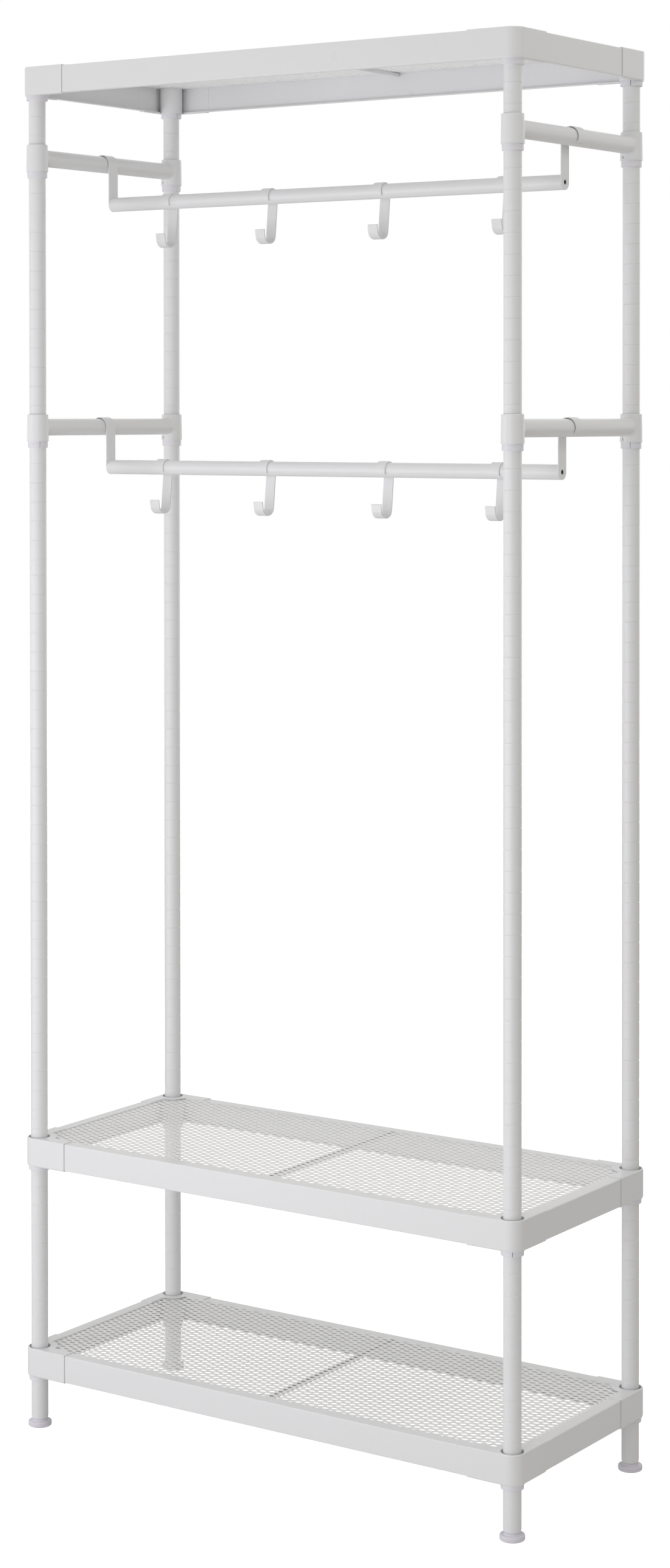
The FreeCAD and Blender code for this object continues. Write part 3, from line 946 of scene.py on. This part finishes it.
@dataclass
class Wedges:
    """The split plastic sleeves that grip the grooves and hold the shelves and side bars up."""

    shelf_gap: float = 3.1 * MM
    bar_top_gap: float = 1.5 * MM
    bar_bottom_gap: float = 2.1 * MM
    bore_gap: float = 0.05 * MM
    rise: float = 36.0 * MM
    top_drop: float = 8.0 * MM
    skirt_inset: float = 0.15 * MM
    taper: float = 1.05 * MM
    bottom_ease: float = 0.8 * MM
    seat_steps: int = 3
    segments: int = 128
    slit_angles: dict[Tier | Level, tuple[float, float, float, float]] = field(default_factory=lambda: {
        Tier.TOP: (-45.0, -60.0, 72.0, 23.0),
        Tier.MIDDLE: (-45.0, 31.0, -50.0, 18.5),
        Tier.BOTTOM: (-45.0, -60.0, -50.0, -58.0),
        Level.UPPER: (-45.0, -60.0, -50.0, -58.0),
        Level.LOWER: (51.0, -60.0, -50.0, 23.0)})

    def pair(self, post_radius: float, seat_radius: float, crown_radius: float, seat_drop: float) -> Piece:
        """Turn a wedge about the upright axis with its sleeve's top at 0, and slit it into two halves.

        Args:
            post_radius: the radius of the post inside it.
            seat_radius: the radius of the sleeve's bore at its bottom.
            crown_radius: the wedge's radius at its top.
            seat_drop: how far the sleeve reaches down.

        Returns:
            The two halves, in one piece, with a slit towards the front.
        """
        bore = post_radius + self.bore_gap
        bottom = -self.top_drop - self.rise
        skirt = seat_radius - self.skirt_inset
        profile = [(bore, bottom)]
        profile += rounded((skirt - self.bottom_ease, bottom + self.bottom_ease), self.bottom_ease,
                           -90, 90, self.seat_steps)
        profile += [(skirt, -seat_drop), (crown_radius, -self.top_drop), (bore, -self.top_drop)]
        shells = turned(profile, self.segments)
        half_step = math.pi / self.segments
        with editing(shells):
            select(shells, Part.FACES, lambda face: (
                abs(math.atan2(middle(face).x, abs(middle(face).y)) - half_step) < half_step / 2))
            bpy.ops.mesh.delete(type="FACE")
            bpy.context.tool_settings.mesh_select_mode = (False, True, False)
            bpy.ops.mesh.select_non_manifold()
            bpy.ops.mesh.fill_holes(sides=0)
        return shells

    def build(self) -> None:
        """Set a wedge at each place and join those that share a node."""
        post_radius = box_size(CORNER_POST, 0) / 2
        post = box_middle(CORNER_POST)
        shelf_tops = {tier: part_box(f"{tier.value}_shelf_corner_brackets")[1][2] for tier in Tier}
        shelf_bore = post_radius + self.shelf_gap
        shelf_model = self.pair(
            post_radius, shelf_bore, shelf_bore - self.taper, box_size("top_shelf_corner_brackets", 2))
        bar_model = self.pair(
            post_radius, post_radius + self.bar_bottom_gap, post_radius + self.bar_top_gap,
            box_size("upper_side_bar_right", 2))
        groups = [("shelf_wedges", shelf_model, shelf_tops)]
        for level in Level:
            tops = {level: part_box(f"{level.value}_side_bar_right")[1][2]}
            groups.append((f"{level.value}_bar_wedges", bar_model, tops))
        for node, model, tops in groups:
            shells = [copied(model, side.place(post, top), turn=angle)
                      for mount, top in tops.items()
                      for side, angle in zip(Side, self.slit_angles[mount])]
            handed_over(shaded(joined(shells)), node, "shells", WEDGE_PLASTIC)
        bpy.data.objects.remove(shelf_model)
        bpy.data.objects.remove(bar_model)


# Side bars

@dataclass
class SideBars:
    """The four side bars: a tube welded between two tapered post sleeves."""

    wall: float = 1.2 * MM
    top_gap: float = 1.5 * MM
    bottom_gap: float = 2.1 * MM
    shoulder: float = 1.1 * MM
    shoulder_steps: int = 5
    axis_drop: float = 17.0 * MM
    vent_radius: float = 1.9 * MM
    vent_turn: float = 17.0
    vent_rise: float = 3.6 * MM
    vent_sides: int = 24
    fillet: float = 2.4 * MM
    crown_share: float = 0.15
    fillet_steps: int = 6
    fillet_sink: float = 0.3 * MM

    def sleeve(self, post_radius: float, height: float) -> Piece:
        """Turn one sleeve with its top at 0, a rounded shoulder above and a square edge below.

        Args:
            post_radius: the post's radius.
            height: the sleeve's height.

        Returns:
            The sleeve.
        """
        low_bore = post_radius + self.bottom_gap
        top_bore = post_radius + self.top_gap
        top_outer = top_bore + self.wall
        profile = [(low_bore, -height), (low_bore + self.wall, -height)]
        profile += rounded((top_outer - self.shoulder, -self.shoulder), self.shoulder,
                           0, 90, self.shoulder_steps)
        profile.append((top_bore, 0))
        return turned(profile)

    def weld(self, bar_radius: float, sleeve_radius: float, taper: float, post_y: float) -> Piece:
        """Lay the smooth weld between the bar's back end and its sleeve, full at the flanks only.

        Args:
            bar_radius: the tube's radius.
            sleeve_radius: the sleeve's outer radius at the tube's height.
            taper: how much that radius shrinks for each unit of height.
            post_y: how far back the post's axis is.

        Returns:
            The weld, about the bar's axis.
        """
        profile = [(bar_radius - self.fillet_sink, self.fillet_sink)]
        profile += rounded((bar_radius + self.fillet, -self.fillet), self.fillet,
                           180, -90, self.fillet_steps)
        profile.append((bar_radius + self.fillet, self.fillet_sink))
        weld = turned(profile)
        weld.rotation_euler.x = -math.pi / 2
        settle(weld)
        for vertex in weld.data.vertices:
            radius = sleeve_radius - taper * vertex.co.z
            flank = min(1, abs(vertex.co.x) / bar_radius)
            vertex.co.y *= self.crown_share + (1 - self.crown_share) * flank
            vertex.co.y += post_y - math.sqrt(radius ** 2 - vertex.co.x ** 2)
        return weld

    def build(self) -> None:
        """Weld up one bar at each level and copy it to the other side."""
        post_radius = box_size(CORNER_POST, 0) / 2
        post = box_middle(CORNER_POST)
        bar_radius = post_radius
        height = box_size("upper_side_bar_right", 2)
        ends = (-post.y * Y_AXIS, post.y * Y_AXIS)
        bar = drum(bar_radius, *ends)
        bar.location.z = -self.axis_drop
        settle(bar)
        share = self.axis_drop / height
        mean_radius = post_radius + self.wall + self.top_gap + share * (self.bottom_gap - self.top_gap)
        for end in ends:
            core = drum(
                mean_radius - self.wall / 2, end - (height + OVERRUN) * Z_AXIS, end + OVERRUN * Z_AXIS)
            combine(bar, core, Boolean.CUT)
        for end in ends:
            sleeve = self.sleeve(post_radius, height)
            sleeve.location = end
            combine(bar, settle(sleeve), Boolean.UNITE)
            inward = Matrix.Rotation(math.radians(-self.vent_turn), 3, Z_AXIS) @ -end.normalized()
            vent_end = end + (self.vent_rise - height) * Z_AXIS
            vent_start = vent_end + 2 * bar_radius * inward
            vent = drum(self.vent_radius, vent_start, vent_end, self.vent_sides)
            combine(bar, vent, Boolean.CUT)
        weld = self.weld(bar_radius, mean_radius, (self.bottom_gap - self.top_gap) / height, post.y)
        weld.location.z = -self.axis_drop
        settle(weld)
        model = joined([bar, weld, copied(weld, Vector(), turn=180)])
        for level in Level:
            for side, sign in (("left", -1), ("right", 1)):
                node = f"{level.value}_side_bar_{side}"
                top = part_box(node)[1][2]
                twin = copied(model, Vector((sign * post.x, 0, top)))
                handed_over(shaded(twin), node, "welded", POWDER_COAT)
        bpy.data.objects.remove(model)


# Hanger rods

@dataclass
class HangerRods:
    """The two hanger rods, each a tube with a hooked strap welded on both ends."""

    wall: float = 1.0 * MM
    strap_thickness: float = 1.3 * MM
    strap_edge: float = 0.35 * MM
    vent_radius: float = 3.0 * MM
    vent_sides: int = 32
    wrap_angle: float = 35.0
    wrap_steps: int = 40
    round_steps: int = 12
    round_merge: float = 0.01 * MM
    side_bar_drop: float = 17.0 * MM

    def tube(self, node: str) -> Piece:
        """Turn the rod's tube and lay it along the width.

        Args:
            node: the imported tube.

        Returns:
            The tube, in its place.
        """
        low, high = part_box(node)
        radius = box_size(node, 2) / 2
        bore = radius - self.wall
        piece = turned([(bore, low[0]), (radius, low[0]), (radius, high[0]), (bore, high[0])])
        piece.rotation_euler.y = math.pi / 2
        settle(piece)
        centre = box_middle(node)
        piece.location = (0, centre.y, centre.z)
        return settle(piece)

    def strap(self, rod_node: str, bar_node: str) -> Piece:
        """Fold the right-hand strap: up from the rod's end and over the side bar.

        Args:
            rod_node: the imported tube.
            bar_node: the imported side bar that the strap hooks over.

        Returns:
            The strap, in its place.
        """
        rod_low, rod_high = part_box(rod_node)
        rod = box_middle(rod_node)
        rod_radius = box_size(rod_node, 2) / 2
        bar_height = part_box(bar_node)[1][2] - self.side_bar_drop
        bar = Vector((box_middle(bar_node).x, rod.y, bar_height))
        line = rod_high[0] + self.strap_thickness / 2
        start = Vector((line, rod.y, bar.z))
        path = [Vector((line, rod.y, rod_low[2])), Vector((line, rod.y, rod.z))]
        path += arc(bar, start, Y_AXIS, 180 + self.wrap_angle, self.wrap_steps)
        strap = drawn(path, 2 * rod_radius * Y_AXIS)
        with editing(strap):
            select(strap, Part.VERTS, lambda vert: vert.co.z < rod_low[2] + NEAR)
            bpy.ops.mesh.bevel(offset=rod_radius, segments=self.round_steps, affect="VERTICES")
            bpy.ops.mesh.select_all(action="SELECT")
            bpy.ops.mesh.remove_doubles(threshold=self.round_merge)
        thickened(strap, self.strap_thickness)
        rod_end = Vector((line, rod.y, rod.z))
        vent = drum(self.vent_radius, rod_end - OVERRUN * X_AXIS, rod_end + OVERRUN * X_AXIS,
                    self.vent_sides)
        combine(strap, vent, Boolean.CUT)
        return eased(strap, self.strap_edge)

    def build(self) -> None:
        """Make both rods with their straps."""
        for level in Level:
            body = f"{level.value}_rod"
            rod_node = f"{level.value}_hanger_rod"
            handed_over(shaded(self.tube(rod_node)), rod_node, "tube", POWDER_COAT, body)
            right = self.strap(rod_node, f"{level.value}_side_bar_right")
            left = copied(right, Vector(), flip=(-1, 1, 1))
            for side, strap in (("right", right), ("left", left)):
                node = f"{level.value}_rod_bracket_{side}"
                handed_over(shaded(strap), node, "strap", POWDER_COAT, body)


# Hooks

@dataclass
class Hooks:
    """The eight sliding hooks, each a strip clipped over its rod and curled up at the front."""

    thickness: float = 2.0 * MM
    width: float = 14.5 * MM
    grip_gap: float = 0.05 * MM
    wrap_angle: float = 32.0
    lean: float = 6.0
    shank: float = 51.0 * MM
    curl_radius: float = 10.8 * MM
    curl_flatness: float = 0.82
    tip_angle: float = 8.0
    tip_length: float = 9.4 * MM
    edge: float = 0.4 * MM
    clip_steps: int = 32
    curl_steps: int = 24
    on_each_rod: int = 4

    def strip(self, rod_radius: float) -> Piece:
        """Bend one hook about the rod's axis.

        Args:
            rod_radius: the radius of the rod that it hangs on.

        Returns:
            The hook.
        """
        half = self.thickness / 2
        clip = rod_radius + self.grip_gap + half
        curl = self.curl_radius + half
        wrap = math.radians(180 + self.wrap_angle)
        lean = Matrix.Rotation(math.radians(-self.lean), 3, X_AXIS)
        clip_start = Vector((0, clip * math.cos(wrap), clip * math.sin(wrap)))
        path = arc(Vector(), clip_start, X_AXIS, -(180 + self.wrap_angle + self.lean), self.clip_steps)
        foot = path[-1] + lean @ (-self.shank * Z_AXIS)
        curl_centre = foot + lean @ (-curl * Y_AXIS)
        curl_turn = 180 - self.lean - self.tip_angle
        curl_line = arc(curl_centre, foot, X_AXIS, -curl_turn, self.curl_steps)
        for point in curl_line:
            point.z = max(point.z, foot.z + self.curl_flatness * (point.z - foot.z))
        path += curl_line
        tip = math.radians(self.tip_angle)
        rise = Vector((0, -math.sin(tip), math.cos(tip)))
        path.append(path[-1] + rise * self.tip_length)
        return shaded(eased(thickened(drawn(path, self.width * X_AXIS), self.thickness), self.edge))

    def build(self) -> None:
        """Bend one hook and hang a copy at each place."""
        model = self.strip(box_size("upper_hanger_rod", 2) / 2)
        for level in Level:
            rod = box_middle(f"{level.value}_hanger_rod")
            for number in range(1, self.on_each_rod + 1):
                node = f"{level.value}_hook_{number}"
                hook = copied(model, Vector((box_middle(node).x, rod.y, rod.z)))
                handed_over(hook, node, "strip", POWDER_COAT, node)
        bpy.data.objects.remove(model)


# Levelling feet

@dataclass
class Feet:
    """The four moulded foot pads, each on its threaded stud."""

    pad_height: float = 7.2 * MM
    edge_radius: float = 2.0 * MM
    neck_radius: float = 10.5 * MM
    sole_recess: float = 0.5 * MM
    edge_steps: int = 6

    def pad(self, radius: float, top: float) -> Piece:
        """Turn one pad with rounded edges, a flat sole and a neck.

        Args:
            radius: the pad's radius.
            top: the height of the neck's top.

        Returns:
            The pad, about the upright axis.
        """
        profile = [(PIN_HOLE, 0)]
        for start, height in ((-90, self.edge_radius), (0, self.pad_height - self.edge_radius)):
            profile += rounded((radius - self.edge_radius, height), self.edge_radius,
                               start, 90, self.edge_steps)
        profile += [(self.neck_radius + self.sole_recess, self.pad_height),
                    (self.neck_radius, self.pad_height + self.sole_recess),
                    (self.neck_radius, top), (PIN_HOLE, top)]
        return turned(profile)

    def build(self) -> None:
        """Turn one pad and set a copy under each post."""
        first_pad = "foot_pad_front_left"
        model = self.pad(box_size(first_pad, 0) / 2, box_size(first_pad, 2))
        for side in Side:
            node = f"foot_pad_{side.label}"
            place = box_middle(node)
            pad = copied(model, Vector((place.x, place.y, 0)))
            handed_over(shaded(pad), node, "moulding", FOOT_PLASTIC, f"foot_{side.label}")
        bpy.data.objects.remove(model)


# Hidden hardware

def plate_hardware() -> None:
    """Give the studs and inserts inside the posts their zinc plating."""
    nodes = ["post_joint_studs", "threaded_inserts"] + [f"foot_stud_{side.label}" for side in Side]
    for node in nodes:
        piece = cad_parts[node]
        piece.data.materials.clear()
        piece.data.materials.append(ZINC_PLATE.material())
        LOG.info("%s: plated", node)


# Studio

@dataclass(frozen=True)
class SoftBox:
    """One rectangular lamp: where it hangs, what it points at, its size, its watts and its colour."""

    name: str
    place: tuple[float, float, float]
    target: tuple[float, float, float]
    size: tuple[float, float]
    power: float
    colour: str

    def hang(self) -> None:
        """Hang the lamp, which the camera itself doesn't see."""
        data = bpy.data.lights.new(self.name, "AREA")
        data.shape = "RECTANGLE"
        data.size, data.size_y = self.size
        data.energy = self.power
        data.color = linear(self.colour)[:3]
        lamp = bpy.data.objects.new(self.name, data)
        lamp.location = self.place
        aim = Vector(self.target) - Vector(self.place)
        lamp.rotation_euler = aim.to_track_quat("-Z", "Y").to_euler()
        lamp.visible_camera = False
        bpy.context.scene.collection.objects.link(lamp)


# A broad box overhead, a low key, two narrow fills in front, a small box at each side and one behind.
SOFT_BOXES = (
    SoftBox("top_box", (0.2, -0.6, 4.4), (0.0, 0.0, 0.9), (2.6, 2.6), 26.5, "#F7F6FF"),
    SoftBox("key_box", (-1.03, -3.0, 0.45), (0.0, 0.0, 0.6), (2.45, 1.2), 12.5, "#FFFCFF"),
    SoftBox("left_fill", (-1.3, -1.9, 0.9), (-0.26, 0.0, 0.9), (0.85, 1.8), 7.4, "#F8F6FF"),
    SoftBox("right_fill", (0.4, -1.9, 0.9), (0.08, 0.0, 0.9), (0.85, 1.8), 6.6, "#F7FAFF"),
    SoftBox("right_box", (1.9, 0.3, 2.7), (0.2, 0.0, 1.7), (0.9, 0.8), 5.4, "#FFFFFF"),
    SoftBox("left_box", (-2.6, -1.2, 1.0), (0.0, 0.0, 0.9), (1.4, 1.8), 4.8, "#FBFFFF"),
    SoftBox("rear_box", (0.5, 3.2, 1.3), (0.0, 0.0, 0.9), (2.4, 1.8), 7.5, "#FFFFFF"),
)


@dataclass
class Studio:
    """A white floor and air, soft lamps and the camera that stands where the photograph's stood."""

    floor_size: float = 16.0
    floor_drop: float = 12.5 * MM
    camera_place: tuple[float, float, float] = (2.21874, -3.23374, 1.34119)
    camera_heading: float = 34.347
    camera_tilt: float = 0.944
    camera_roll: float = 0.0356
    focal_pixels: float = 4979.71
    centre_x: float = 548.364
    centre_y: float = 764.484
    sensor: float = 36.0
    ambient: float = 0.405
    ambient_colour: str = "#FFFCF3"
    floor_glow: float = 0.8
    floor_colour: str = "#EDEDED"

    def build_camera(self) -> None:
        """Stand the camera at the photograph's place, with its lens shifted as the picture is framed."""
        data = bpy.data.cameras.new("camera")
        data.sensor_width = self.sensor
        data.lens = self.focal_pixels * self.sensor / IMAGE_HEIGHT
        data.shift_x = (IMAGE_WIDTH / 2 - self.centre_x) / IMAGE_HEIGHT
        data.shift_y = (self.centre_y - IMAGE_HEIGHT / 2) / IMAGE_HEIGHT
        camera = bpy.data.objects.new("camera", data)
        camera.location = self.camera_place
        camera.rotation_euler = (math.radians(90 - self.camera_tilt), math.radians(self.camera_roll),
                                 math.radians(self.camera_heading))
        bpy.context.scene.collection.objects.link(camera)
        bpy.context.scene.camera = camera

    def build_world(self) -> None:
        """A plain ambient light that the camera, gloss and glass see as white."""
        world = bpy.data.worlds.new("studio_air")
        tree = empty_tree(world)
        rays = add_node(tree, "ShaderNodeLightPath").outputs
        seen = add_node(tree, "ShaderNodeMath", {"operation": "MAXIMUM"},
                        {0: rays["Is Camera Ray"], 1: rays["Is Glossy Ray"]})
        seen = add_node(tree, "ShaderNodeMath", {"operation": "MAXIMUM"},
                        {0: seen.outputs[0], 1: rays["Is Transmission Ray"]})
        air = add_node(tree, "ShaderNodeBackground",
                       {"Color": linear(self.ambient_colour), "Strength": self.ambient})
        white = add_node(tree, "ShaderNodeBackground", {"Color": linear("#FFFFFF"), "Strength": 1.0})
        mix = add_node(tree, "ShaderNodeMixShader", None,
                       {0: seen.outputs[0], 1: air.outputs[0], 2: white.outputs[0]})
        add_node(tree, "ShaderNodeOutputWorld", None, {"Surface": mix.outputs[0]})
        bpy.context.scene.world = world

    def build_floor(self) -> None:
        """A pale floor just below the feet at their lowest, which fades into the white air."""
        deselect_all()
        bpy.ops.mesh.primitive_plane_add(size=self.floor_size, location=(0, 0, -self.floor_drop))
        floor = settle(bpy.context.active_object)
        floor.name = "studio_floor"
        material = bpy.data.materials.new("matte_white_floor_vinyl")
        tree = empty_tree(material)
        rays = add_node(tree, "ShaderNodeLightPath").outputs
        matte = add_node(tree, "ShaderNodeBsdfDiffuse", {"Color": linear(self.floor_colour)})
        glow = add_node(tree, "ShaderNodeEmission",
                        {"Color": linear("#FFFFFF"), "Strength": self.floor_glow})
        dark = add_node(tree, "ShaderNodeEmission", {"Color": linear("#000000"), "Strength": 0.0})
        seen = add_node(tree, "ShaderNodeMixShader", None,
                        {0: rays["Is Camera Ray"], 1: dark.outputs[0], 2: glow.outputs[0]})
        both = add_node(tree, "ShaderNodeAddShader", None, {0: matte.outputs[0], 1: seen.outputs[0]})
        add_node(tree, "ShaderNodeOutputMaterial", None, {"Surface": both.outputs[0]})
        floor.data.materials.append(material)

    def build(self) -> None:
        """Set up the whole studio."""
        bpy.context.scene.view_settings.view_transform = "Standard"
        self.build_camera()
        self.build_world()
        self.build_floor()
        for box in SOFT_BOXES:
            box.hang()


def main() -> None:
    """Build every sub-assembly in order."""
    logging.basicConfig(level=logging.INFO, format="%(message)s")
    Studio().build()
    Posts().build()
    for tier in Tier:
        Shelf(tier).build()
    Wedges().build()
    SideBars().build()
    HangerRods().build()
    Hooks().build()
    Feet().build()
    plate_hardware()


if __name__ == "__main__":
    main()
